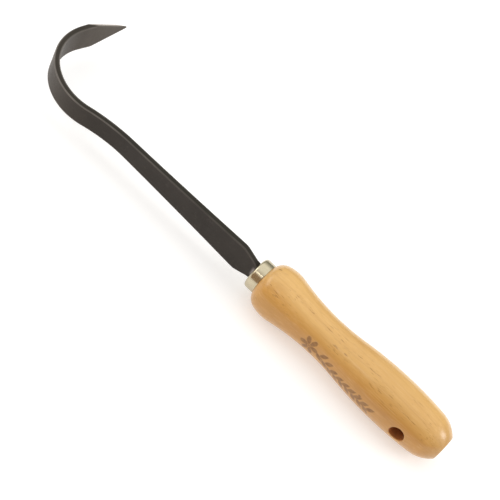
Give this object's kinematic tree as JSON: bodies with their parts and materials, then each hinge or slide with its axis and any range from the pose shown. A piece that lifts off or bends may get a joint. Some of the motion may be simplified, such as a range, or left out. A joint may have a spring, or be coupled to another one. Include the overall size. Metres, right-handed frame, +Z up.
{
  "type": "hooked hand weeder",
  "caption": "Hand weeder: a flat steel hook with a spear point, set in a turned hardwood handle with a metal ferrule and a hang hole.",
  "frame": {"origin": "centre of the handle's flat butt face", "axes": "+X along the handle towards the hook, +Z up with the tool lying on its side, the hook opens towards -Y"},
  "size_m": [0.3072, 0.0807, 0.031],
  "materials": {
    "beech": "satin lacquer",
    "plated_steel": "nickel plated",
    "resin": "cured resin",
    "dark_steel": "blackened, satin"
  },
  "bodies": {
    "root": {"handle": "beech", "ferrule": "plated_steel", "tang_adhesive": "resin", "hook_blade": "dark_steel"}
  },
  "joints": []
}
